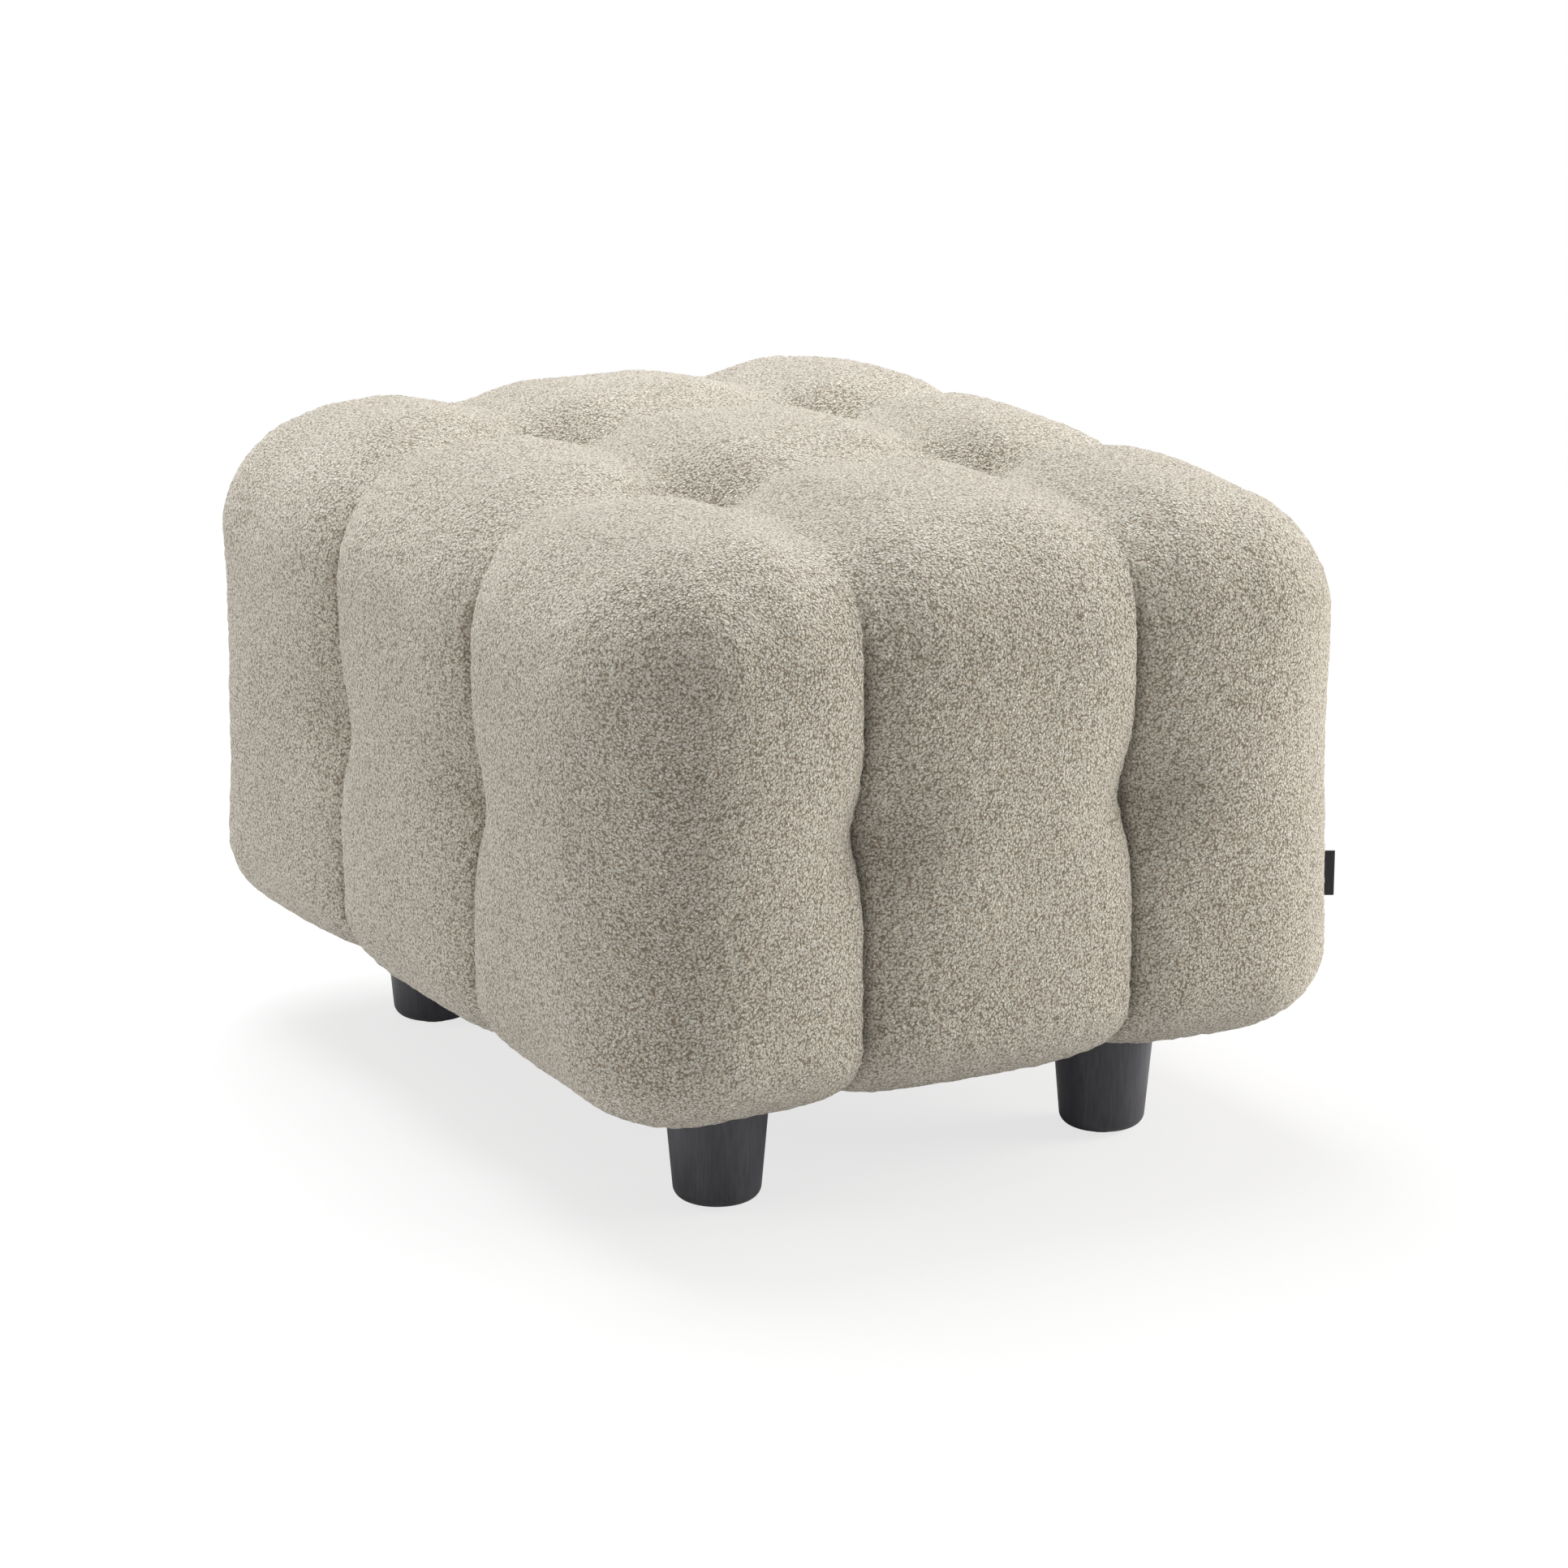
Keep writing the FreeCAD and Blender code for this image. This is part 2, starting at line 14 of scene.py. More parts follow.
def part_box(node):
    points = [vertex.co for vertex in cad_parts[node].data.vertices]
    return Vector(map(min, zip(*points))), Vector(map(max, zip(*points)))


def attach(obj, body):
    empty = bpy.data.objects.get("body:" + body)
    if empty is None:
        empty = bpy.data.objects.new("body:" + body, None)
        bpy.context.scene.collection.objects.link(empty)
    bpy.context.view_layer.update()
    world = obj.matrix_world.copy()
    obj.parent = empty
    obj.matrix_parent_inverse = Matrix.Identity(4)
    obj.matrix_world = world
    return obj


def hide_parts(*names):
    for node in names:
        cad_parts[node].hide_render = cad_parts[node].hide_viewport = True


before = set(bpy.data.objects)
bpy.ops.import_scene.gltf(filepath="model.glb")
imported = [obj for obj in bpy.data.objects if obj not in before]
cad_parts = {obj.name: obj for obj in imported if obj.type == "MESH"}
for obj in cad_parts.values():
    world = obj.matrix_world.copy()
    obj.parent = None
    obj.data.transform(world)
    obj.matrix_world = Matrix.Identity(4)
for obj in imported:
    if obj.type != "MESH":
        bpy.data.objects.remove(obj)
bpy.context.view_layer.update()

# %% [markdown]
# ## Sizes
# What the CAD model holds is read from its nodes, so the dressing follows it. The places of the channels and
# the tufts are repeated here, since a node's box can't tell them. The two radii are those of the padding.
# A well-filled seat isn't flat: its middle stands a little high and its corners are drawn in.

# %% Read the driving sizes
cover_low, cover_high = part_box("quilted_cover")
half_x, half_y = cover_high.x, cover_high.y
seat_top, underside = cover_high.z, cover_low.z
channel_x, channel_y = 0.094, 0.099
tuft_height = 0.250
edge_round, bottom_round = 0.081, 0.057
dome, corner_drop, corner_pull = 0.010, 0.009, 0.0035
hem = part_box("dust_cover")
rim_x, rim_y = hem[1].x + 0.003, hem[1].y + 0.003
hem_height = hem[1].z + 0.0008
print("cover", round(2 * half_x, 3), round(2 * half_y, 3), round(seat_top, 3))

# %% [markdown]
# ## The lattice of the cover
# A cushion could be sculpted from a cube, but its sewn channels then fall across the faces and turn ragged.
# Here the cover starts as a lattice on a box whose lines lie exactly on the channels. Lines crowd together
# there, where the cloth turns steeply, and spread out over the crowns. A few more lie within two millimetres
# of each seam, so that two pillows can all but touch above it.

# %% Lines of the lattice
def between(start, end, count, crowd_start, crowd_end):
    """Stops from one place to another, closer together at the ends that are channels."""
    t = np.linspace(0, 1, count + 1)
    eased = t.copy()
    if crowd_start and crowd_end:
        eased = 0.5 - 0.5 * np.cos(np.pi * t)
    elif crowd_start:
        eased = 1 - np.cos(0.5 * np.pi * t)
    return start + (end - start) * (0.45 * t + 0.55 * eased)


def turn(count, radius):
    """Offsets past the flat that come out evenly spaced round an eighth of a circle."""
    return radius * np.tan(np.linspace(0, math.pi / 4, count + 1))


slot = np.array([0.0, 0.0007, 0.0018])
slot_edge, line_spacing = 0.0035, 0.0062


def lines_across(half, channel):
    """All the lattice lines across the stool in one direction, mirrored about its middle."""
    core = half - edge_round
    outer = between(channel + slot_edge, core, round((core - channel) / line_spacing), True, False)
    rounding = core + turn(11, edge_round)
    side = np.concatenate([channel + slot, outer, rounding[1:]])
    middle = between(slot_edge - channel, channel - slot_edge, 34, True, True)
    middle = np.concatenate([slot[1:] - channel, middle, (channel - slot[1:])[::-1]])
    return np.concatenate([-side[::-1], middle, side])


lines_x = lines_across(half_x, channel_x)
lines_y = lines_across(half_y, channel_y)
core_top = seat_top - edge_round
core_bottom = underside + bottom_round
rise = between(core_bottom, core_top, 36, False, False)
under = core_bottom - turn(9, bottom_round)[:0:-1]
over = core_top + turn(11, edge_round)[1:]
lines_z = np.concatenate([under, rise, over])
print("lattice lines", len(lines_x), len(lines_y), len(lines_z))

# %% [markdown]
# ## One skin from six sides
# Each side of the box gives a sheet of four-sided faces. Points that two sheets share are merged by their
# place in the lattice, so the skin is one closed cloth. The underside is left open inside the rim of the
# recess, where the cloth turns up and in under the frame.

# %% Weave the six sheets together
counts = (len(lines_x), len(lines_y), len(lines_z))


def sheet_faces(axis, end):
    """Corner places in the lattice of every face on one side of the box."""
    a, b = [n for n in range(3) if n != axis]
    i, j = np.meshgrid(np.arange(counts[a] - 1), np.arange(counts[b] - 1), indexing="ij")
    steps = ((0, 0), (1, 0), (1, 1), (0, 1))
    if (axis == 1) == (end > 0):
        steps = steps[::-1]
    corners = np.zeros((i.size, 4, 3), int)
    corners[:, :, axis] = end
    for n, (da, db) in enumerate(steps):
        corners[:, n, a] = i.ravel() + da
        corners[:, n, b] = j.ravel() + db
    return corners


def inside_rim(corners):
    """Which faces of the underside fall inside the recess."""
    x = np.abs(lines_x[corners[:, :, 0]]).max(1)
    y = np.abs(lines_y[corners[:, :, 1]]).max(1)
    return (x < rim_x + 0.004) & (y < rim_y + 0.004)


sheets = [sheet_faces(axis, end) for axis in range(3) for end in (0, counts[axis] - 1)]
sheets[4] = sheets[4][~inside_rim(sheets[4])]
corners = np.concatenate(sheets)
places, index = np.unique(corners.reshape(-1, 3), axis=0, return_inverse=True)
cover_faces = index.reshape(-1, 4)
print("faces", len(cover_faces), "points", len(places))

# %% [markdown]
# ## Rounding the box
# A point of the box is pulled to a fixed distance from the flat core inside it. That turns edges into rolls
# and corners into quarter balls with no seam between them. The underside rolls tighter than the top, so its
# height is measured in its own radius.

# %% Round the lattice and find which way the padding faces
box_points = np.column_stack([lines_x[places[:, 0]], lines_y[places[:, 1]], lines_z[places[:, 2]]])
core_low = np.array([edge_round - half_x, edge_round - half_y, core_bottom])
core_high = np.array([half_x - edge_round, half_y - edge_round, core_top])
core = np.clip(box_points, core_low, core_high)
height_round = np.where(box_points[:, 2] < core_bottom, bottom_round, edge_round)
radii = np.column_stack([np.full(len(core), edge_round), np.full(len(core), edge_round), height_round])
lean = (box_points - core) / radii
lean /= np.linalg.norm(lean, axis=1)[:, None]
rounded = core + lean * radii
outward = lean / radii
outward /= np.linalg.norm(outward, axis=1)[:, None]

# %% [markdown]
# ## Channels, pillows and tufts
# The filling presses the cloth out between the seams. On the sides it turns down to a seam like a quarter of
# an ellipse, bows a little all the way across, and dips sharply in the last two millimetres, where the
# pillows press on each other. On top the valleys are soft, and shallow but for the crossings, where a tuft
# pulls a pit. The nearness to both families of seams is blended by its cubes, which rounds the pillows'
# corners. A tuft on a side draws its seam in further and takes a little of both pillows with it.

# %% How far the cloth sinks at each point
side_reach, reach_on_top, reach_at_tuft = 0.047, 0.010, 0.012
hem_depth, side_depth, top_loss, tuft_pull, crossing_pull = 0.007, 0.006, 0.003, 0.013, 0.026
slot_depth, dimple_depth, pit_depth, bow_depth = 0.006, 0.009, 0.004, 0.0055
tuft_height_reach, dimple_reach, crossing_reach, slot_reach = 0.026, 0.034, 0.038, 0.0020


def near(distance, reach):
    """One at a seam, falling to nothing at the reach of its pull."""
    return np.clip(1 - distance / reach, 0, 1)


def around(squared_distance, reach):
    """A smooth bump: one at its middle, nearly nothing at twice its reach."""
    return np.exp(-squared_distance / reach ** 2)


def hollow(points, facing):
    """Depth of the quilting below the rounded box."""
    x, y, z = np.abs(points[:, 0]), np.abs(points[:, 1]), points[:, 2]
    to_x, to_y = np.abs(x - channel_x), np.abs(y - channel_y)
    up = np.clip(facing[:, 2], 0, 1)
    roll = 2 * up * np.sqrt(1 - up ** 2)
    past_tufts = 9
    to_tuft = np.minimum(to_x + past_tufts * (to_x > 0.12), to_y + past_tufts * (to_y > 0.12))
    rise = np.abs(z - tuft_height)
    tuft = np.exp(-(rise / tuft_height_reach) ** 1.3) * (1 - up)
    dimple = around(rise ** 2 + to_tuft ** 2, dimple_reach) * (1 - up)
    crossing = around(to_x ** 2 + to_y ** 2, crossing_reach) * up
    reach = side_reach + reach_on_top * up + reach_at_tuft * tuft
    pull = np.clip((near(to_x, reach) ** 3 + near(to_y, reach) ** 3) ** (1 / 3), 0, 1)
    shoulder = 1 - np.sqrt(1 - 0.98 * pull ** 2)
    valley = pull ** 2 * (3 - 2 * pull)
    edge = shoulder + (valley - shoulder) * up
    seam = around(np.minimum(to_x, to_y) ** 2, slot_reach) * (1 - up) ** 3
    towards_hem = np.clip((z - underside) / bottom_round, 0, 1)
    depth = hem_depth + side_depth * towards_hem - top_loss * (up + roll) + tuft_pull * tuft
    depth += crossing_pull * crossing
    bow = near(to_x, channel_x) ** 2 + near(to_y, channel_y) ** 2
    bow *= (0.4 + 0.6 * towards_hem) * (1 - 0.8 * up)
    local = slot_depth * towards_hem * seam + dimple_depth * dimple + pit_depth * crossing
    return edge * depth + local + bow_depth * bow


def fullness(points, facing):
    """How far the seat's middle stands out, less how far its edges and corners are drawn in."""
    x, y = np.abs(points[:, 0]), np.abs(points[:, 1])
    up = np.clip(facing[:, 2], 0, 1)
    over = np.clip((x - 0.150) / (half_x - 0.150), 0, 1) + np.clip((y - 0.180) / (half_y - 0.180), 0, 1)
    middle = np.clip(1 - (x / 0.20) ** 2, 0, 1) * np.clip(1 - (y / 0.24) ** 2, 0, 1)
    corner = 2 * np.abs(facing[:, 0] * facing[:, 1]) * np.clip((points[:, 2] - 0.10) / 0.15, 0, 1)
    return dome * middle * up - corner_drop * np.clip(over, 0, 1) ** 2 * up - corner_pull * corner


quilted = rounded + outward * (fullness(rounded, outward) - hollow(rounded, outward))[:, None]
print("deepest channel", round(float(hollow(rounded, outward).max()) * 1000, 1), "mm")

# %% [markdown]
# ## The hem
# Under the stool the cloth turns up into a shallow recess and in below the frame, where it is stapled. The
# open edge of the skin is found as the edges that only one face uses, and two more rings are drawn from it.

# %% Turn the cloth in at the rim
def open_edges(faces):
    """Edges with a face on one side only, each in its own face's direction."""
    ends = np.stack([faces, np.roll(faces, -1, axis=1)], axis=2).reshape(-1, 2)
    key = np.sort(ends, axis=1)
    _, first, uses = np.unique(key, axis=0, return_index=True, return_counts=True)
    return ends[first[uses == 1]]


def add_ring(points, faces, edges, moved):
    """Joins a new ring of points, one to each point of the open edge, to the skin."""
    ring = np.unique(edges)
    fresh = {old: len(points) + n for n, old in enumerate(ring)}
    points = np.concatenate([points, moved(points[ring])])
    strip = np.array([[b, a, fresh[a], fresh[b]] for a, b in edges])
    return points, np.concatenate([faces, strip]), np.array([[fresh[a], fresh[b]] for a, b in edges])


def snapped(points):
    """The open edge brought onto the rectangle of the rim."""
    share = np.maximum(np.abs(points[:, 0]) / rim_x, np.abs(points[:, 1]) / rim_y)
    return np.column_stack([points[:, 0] / share, points[:, 1] / share, points[:, 2]])


def raised(points):
    return np.column_stack([points[:, :2], np.full(len(points), hem_height)])


def drawn_in(points):
    return points * (1 - 0.020 / rim_x, 1 - 0.015 / rim_y, 1)


edges = open_edges(cover_faces)
rim = np.unique(edges)
quilted[rim] = snapped(quilted[rim])
quilted, cover_faces, edges = add_ring(quilted, cover_faces, edges, raised)
quilted, cover_faces, edges = add_ring(quilted, cover_faces, edges, drawn_in)
hem_points = np.unique(np.concatenate([rim, np.arange(len(places), len(quilted))]))
print("hem points", len(hem_points))


# %% Make the mesh
def mesh_object(name, points, faces, smooth=True):
    """An object from arrays of points and faces."""
    mesh = bpy.data.meshes.new(name)
    mesh.from_pydata([tuple(p) for p in points], [], [[int(v) for v in face] for face in faces])
    mesh.validate()
    mesh.polygons.foreach_set("use_smooth", [smooth] * len(mesh.polygons))
    piece = bpy.data.objects.new(name, mesh)
    bpy.context.scene.collection.objects.link(piece)
    return piece


cover = mesh_object("quilted_boucle_cover", quilted, cover_faces)

# %% [markdown]
# ## Settling the cloth
# A formula alone looks moulded. Blender's cloth solver is given the skin with a little air pressure inside
# and no gravity. The seams, the tufts and the hem are pinned, as the thread pins them, and the cloth between
# them fills out for a few frames. A cap on the motion keeps the stool its size.

# %% Press the filling out with a short cloth simulation
def mesh_points(mesh):
    flat = np.empty(len(mesh.vertices) * 3)
    mesh.vertices.foreach_get("co", flat)
    return flat.reshape(-1, 3)


def settle(piece, pinned, frames, cap):
    """Runs the cloth solver and keeps its shape, each point moved no further than the cap."""
    before = mesh_points(piece.data)
    group = piece.vertex_groups.new(name="sewn")
    for share in np.unique(pinned[pinned > 0]):
        group.add([int(v) for v in np.nonzero(pinned == share)[0]], float(share), "REPLACE")
    cloth = piece.modifiers.new("settle", "CLOTH")
    cloth.settings.vertex_group_mass = "sewn"
    cloth.settings.quality = 4
    cloth.settings.mass = 0.4
    cloth.settings.tension_stiffness = 25
    cloth.settings.compression_stiffness = 25
    cloth.settings.bending_stiffness = 4
    cloth.settings.use_pressure = True
    cloth.settings.uniform_pressure_force = 4
    cloth.settings.effector_weights.gravity = 0
    cloth.collision_settings.use_collision = False
    scene = bpy.context.scene
    for step in range(1, frames + 1):
        scene.frame_set(step)
    solved = piece.evaluated_get(bpy.context.evaluated_depsgraph_get())
    after = mesh_points(solved.data)
    piece.modifiers.remove(cloth)
    piece.vertex_groups.remove(group)
    scene.frame_set(1)
    move = after - before
    length = np.maximum(np.linalg.norm(move, axis=1), 1e-9)
    move *= (np.minimum(length, cap) / length)[:, None]
    piece.data.vertices.foreach_set("co", (before + move).ravel())
    piece.data.update()
    print("cloth moved up to", round(float(length.max()) * 1000, 1), "mm, capped at", cap * 1000)


held = np.zeros(len(quilted))
to_seam = np.minimum(np.abs(np.abs(rounded[:, 0]) - channel_x), np.abs(np.abs(rounded[:, 1]) - channel_y))
held[:len(places)] = np.where(to_seam < 0.0025, 1.0, 0.0)
held[hem_points] = 1.0
settle(cover, held, 12, 0.004)

# %% [markdown]
# ## Loops that stand off the surface
# The cloth is looped wool, so its outline is never a clean line. The skin is divided once more, which also
# softens the lattice, and each point is then moved along its normal by a fine noise at the size of the loops
# and a broad one for hand-laid filling. Smaller curls are left to the material.

# %% Divide the skin and roughen it
def divided(piece, levels):
    """Applies smooth subdivision to a piece's mesh."""
    piece.modifiers.new("divide", "SUBSURF").levels = levels
    solved = piece.evaluated_get(bpy.context.evaluated_depsgraph_get())
    mesh = bpy.data.meshes.new_from_object(solved)
    piece.modifiers.clear()
    piece.data = mesh


def ruffled(piece, loop_size, loop_height, lump_size, lump_height):
    """Moves every point along its normal by two scales of noise."""
    mesh = piece.data
    points = mesh_points(mesh)
    normals = np.empty(len(points) * 3)
    mesh.vertex_normals.foreach_get("vector", normals)
    lift = [loop_height * noise.noise(Vector(p) / loop_size) + lump_height * noise.noise(Vector(p) / lump_size)
            for p in points]
    mesh.vertices.foreach_set("co", (points + normals.reshape(-1, 3) * np.array(lift)[:, None]).ravel())
    mesh.update()


divided(cover, 1)
ruffled(cover, 0.0055, 0.0011, 0.070, 0.0016)
print("cover points", len(cover.data.vertices))

# %% [markdown]
# ## Writing materials as sums
# A material is a graph of nodes, which is slow to read and to change. The small class below wraps a socket
# so that ordinary arithmetic adds the Math nodes. Every other node comes from one method that takes its
# type, its settings and its inputs.

# %% A socket that can be added and multiplied
class Signal:
    """A value in a node tree that ordinary arithmetic works on."""

    def __init__(self, tree, socket):
        self.tree = tree
        self.socket = socket

    def math(self, operation, *values):
        return add_node(self.tree, "ShaderNodeMath", {"operation": operation}, dict(enumerate(values)))

    def __add__(self, other):
        return self.math("ADD", self, other)

    def __sub__(self, other):
        return self.math("SUBTRACT", self, other)

    def __rsub__(self, other):
        return self.math("SUBTRACT", other, self)

    def __mul__(self, other):
        return self.math("MULTIPLY", self, other)

    def clamped(self):
        return self.math("MINIMUM", self.math("MAXIMUM", self, 0.0), 1.0)

    __radd__ = __add__
    __rmul__ = __mul__


def add_node(tree, kind, settings=None, inputs=None, output=0):
    """Adds a node, sets it up, joins its inputs and returns one of its outputs."""
    node = tree.nodes.new(kind)
    for name, value in (settings or {}).items():
        if name == "stops":
            ramp = node.color_ramp
            while len(ramp.elements) < len(value):
                ramp.elements.new(0.5)
            for element, (place, colour) in zip(ramp.elements, value):
                element.position = place
                element.color = (*colour, 1.0)
        else:
            setattr(node, name, value)
    for name, value in (inputs or {}).items():
        if isinstance(value, Signal):
            tree.links.new(value.socket, node.inputs[name])
        else:
            node.inputs[name].default_value = value
    return Signal(tree, node.outputs[output])


# %% Start a material
def new_material(name):
    """An empty material, its tree, and the place on the object in metres."""
    material = bpy.data.materials.new(name)
    material.use_nodes = True
    tree = material.node_tree
    tree.nodes.clear()
    place = add_node(tree, "ShaderNodeTexCoord", output="Object")
    return material, tree, place


def finish_material(tree, colour, roughness, bump_height=None, bump_depth=0.001, **constants):
    """A Principled shader with a bump, and numbers that are the same all over."""
    inputs = {"Base Color": colour, "Roughness": roughness}
    inputs.update({name.replace("_", " "): value for name, value in constants.items()})
    if bump_height is not None:
        inputs["Normal"] = add_node(tree, "ShaderNodeBump", {}, {
            "Height": bump_height, "Distance": bump_depth, "Strength": 1.0})
    surface = add_node(tree, "ShaderNodeBsdfPrincipled", {}, inputs)
    add_node_output(tree, surface)


def add_node_output(tree, surface):
    output = tree.nodes.new("ShaderNodeOutputMaterial")
    tree.links.new(surface.socket, output.inputs["Surface"])


def shifted(tree, place, offset, amount):
    """A place moved by a vector pattern."""
    centred = add_node(tree, "ShaderNodeVectorMath", {"operation": "SUBTRACT"}, {0: offset, 1: (0.5, 0.5, 0.5)})
    scaled = add_node(tree, "ShaderNodeVectorMath", {"operation": "SCALE"}, {0: centred, "Scale": amount})
    return add_node(tree, "ShaderNodeVectorMath", {"operation": "ADD"}, {0: place, 1: scaled})


# %% [markdown]
# ## Looped wool
# The yarn is thrown into curls a few millimetres across. Light falls on the tops of the curls and is lost in
# the gaps between them. Voronoi cells stand for the curls, once their places have been stirred by a noise so
# that no cell stays round. A finer noise breaks each curl into strands. One height drives both the bump and
# the colour. The colour therefore carries painted shade in the gaps and painted light on the loop tops, so
# shade and relief agree.

# %% Make the looped cloth
def boucle():
    material, tree, place = new_material("looped_wool")
    stir = add_node(tree, "ShaderNodeTexNoise", {}, {"Vector": place, "Scale": 400.0, "Detail": 2.0}, "Color")
    curled = shifted(tree, place, stir, 0.0026)
    cell = add_node(tree, "ShaderNodeTexVoronoi", {}, {"Vector": curled, "Scale": 640.0}, "Distance")
    small = add_node(tree, "ShaderNodeTexVoronoi", {}, {"Vector": curled, "Scale": 1050.0}, "Distance")
    strand = add_node(tree, "ShaderNodeTexNoise", {}, {"Vector": curled, "Scale": 1700.0, "Detail": 3.0}, "Fac")
    loops = (1.0 - cell * 1.25).clamped()
    curls = (1.0 - small * 1.2).clamped()
    height = loops * 0.65 + curls * 0.22 + strand * 0.20
    tone = add_node(tree, "ShaderNodeTexNoise", {}, {"Vector": place, "Scale": 9.0, "Detail": 3.0}, "Fac")
    depth = height + (tone - 0.5) * 0.10
    # The ramp is dark in the gaps between the loops as painted shade, and light on their tops as painted light.
    # The broad tone is the wool's own uneven colour.
    colour = add_node(tree, "ShaderNodeValToRGB", {"stops": (
        (0.18, (0.215, 0.172, 0.120)),
        (0.36, (0.500, 0.434, 0.332)),
        (0.56, (0.755, 0.706, 0.612)),
        (0.82, (0.940, 0.918, 0.872)),
    )}, {"Fac": depth}, "Color")
    finish_material(tree, colour, 0.92, height, 0.0026, Sheen_Weight=0.35, Sheen_Roughness=0.5)
    return material


looped_wool = boucle()
cover.data.materials.clear()
cover.data.materials.append(looped_wool)
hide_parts("quilted_cover")
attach(cover, "root")

# %% [markdown]
# ## Turned legs
# Each leg is turned from wood, tapers to a rounded foot and is painted near black, thin enough for the grain
# to show as faint upright streaks. The CAD model draws it with narrow flats. Here the same outline is spun in
# finer steps, read from the node's box, with the rim softened as a lathe leaves it.

# %% Spin the legs
def spun(name, outline, centre, steps=96):
    """A solid of revolution about an upright line, its first and last points on the line."""
    angles = [2 * math.pi * n / steps for n in range(steps)]
    points = [(centre.x + r * math.cos(a), centre.y + r * math.sin(a), z) for r, z in outline for a in angles]
    faces = []
    for row in range(len(outline) - 1):
        for n in range(steps):
            a, b = row * steps + n, row * steps + (n + 1) % steps
            faces.append((a, b, b + steps, a + steps))
    faces.append(tuple(reversed(range(steps))))
    faces.append(tuple(range((len(outline) - 1) * steps, len(outline) * steps)))
    return mesh_object(name, points, faces)


def leg_outline(low, high, foot_share=0.797, foot_round=0.008):
    """Radii and heights up a leg: a rounded foot, a straight taper and a softened top edge."""
    top = (high.x - low.x) / 2
    foot = top * foot_share
    rounding = []
    for n in range(9):
        angle = math.pi / 2 * n / 8
        rounding.append((foot - foot_round * (1 - math.sin(angle)), low.z + foot_round * (1 - math.cos(angle))))
    return rounding + [(top - 0.0008, high.z - 0.004), (top - 0.0015, high.z)]


def painted_wood():
    material, tree, place = new_material("painted_wood")
    drawn = add_node(tree, "ShaderNodeMapping", {}, {"Vector": place, "Scale": (1.0, 1.0, 0.055)}, "Vector")
    grain = add_node(tree, "ShaderNodeTexNoise", {}, {"Vector": drawn, "Scale": 620.0, "Detail": 4.0}, "Fac")
    broad = add_node(tree, "ShaderNodeTexNoise", {}, {"Vector": drawn, "Scale": 110.0, "Detail": 2.0}, "Fac")
    streak = grain * 0.6 + broad * 0.4
    colour = add_node(tree, "ShaderNodeValToRGB", {"stops": (
        (0.30, (0.038, 0.038, 0.047)),
        (0.70, (0.078, 0.078, 0.094)),
    )}, {"Fac": streak}, "Color")
    finish_material(tree, colour, streak * 0.15 + 0.38, grain, 0.0002)
    return material


paint = painted_wood()
for name in ("front_left", "front_right", "back_left", "back_right"):
    low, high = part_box("leg_" + name)
    leg = spun("turned_leg_" + name, leg_outline(low, high), (low + high) / 2)
    leg.data.materials.append(paint)
    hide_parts("leg_" + name)
    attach(leg, "root")
print("leg", round((high.x - low.x) * 1000, 1), "mm across at the top")

# %% [markdown]
# ## The tab
# A short black ribbon is folded in two and caught in the padding beside one corner, where it stands straight
# out. It is left bare. It could be a flat card, but a fold has a round nose and two thin leaves, so its
# section is drawn and then run upwards in ribs like those of woven ribbon.

# %% Fold the ribbon
def cloth_material(name, dark, light, thread, roughness=0.85, depth=0.0003):
    """Plain woven cloth: two sets of threads crossing at right angles."""
    material, tree, place = new_material(name)
    waves = []
    for axis in ("X", "Y", "Z"):
        waves.append(add_node(tree, "ShaderNodeTexWave", {"bands_direction": axis}, {
            "Vector": place, "Scale": math.pi / 10 / thread, "Distortion": 0.6, "Detail": 1.0}, "Fac"))
    weave = (waves[0] + waves[1] + waves[2]) * 0.333
    wear = add_node(tree, "ShaderNodeTexNoise", {}, {"Vector": place, "Scale": 60.0, "Detail": 4.0}, "Fac")
    tone = (weave * 0.7 + wear * 0.3).clamped()
    colour = add_node(tree, "ShaderNodeMix", {"data_type": "RGBA"}, {
        "Factor": tone, "A": (*dark, 1.0), "B": (*light, 1.0)}, "Result")
    finish_material(tree, colour, roughness, weave, depth)
    return material


tab_low, tab_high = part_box("label_tab")
tab_turn = math.radians(28)
tab_out = Vector((math.cos(tab_turn), -math.sin(tab_turn), 0))
tab_across = Vector((0, 0, 1)).cross(tab_out)
tab_place = Vector((half_x - edge_round, edge_round - half_y, 0)) + tab_out * (edge_round - corner_pull)
tab_reach, tab_root, ribbon = 0.009, 0.005, 0.0006


def fold_section(half_gap):
    """Half the way round a fold, from its root to its nose and back, as distances out and across."""
    nose = tab_reach - half_gap
    run = [(-tab_root + (nose + tab_root) * n / 8, half_gap) for n in range(8)]
    turns = [math.pi * n / 12 for n in range(13)]
    bend = [(nose + half_gap * math.sin(a), half_gap * math.cos(a)) for a in turns]
    return run + bend + [(d, -g) for d, g in reversed(run)]


def folded_tab(rows=30):
    section = fold_section(0.0008) + fold_section(0.0008 - ribbon)[::-1]
    points = []
    for row in range(rows + 1):
        z = tab_low.z + (tab_high.z - tab_low.z) * row / rows
        for out, across in section:
            points.append(tab_place + tab_out * out + tab_across * across + Vector((0, 0, z)))
    count = len(section)
    faces = []
    for row in range(rows):
        for n in range(count):
            a, b = row * count + n, row * count + (n + 1) % count
            faces.append((a, b, b + count, a + count))
    half = count // 2
    for base in (0, rows * count):
        for n in range(half - 1):
            faces.append((base + n, base + n + 1, base + count - 2 - n, base + count - 1 - n))
    return mesh_object("folded_tab", points, faces)


tab = folded_tab()
ribbon_cloth = cloth_material("black_ribbon", (0.012, 0.012, 0.015), (0.040, 0.040, 0.046), 0.0006)
tab.data.materials.append(ribbon_cloth)
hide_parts("label_tab")
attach(tab, "root")

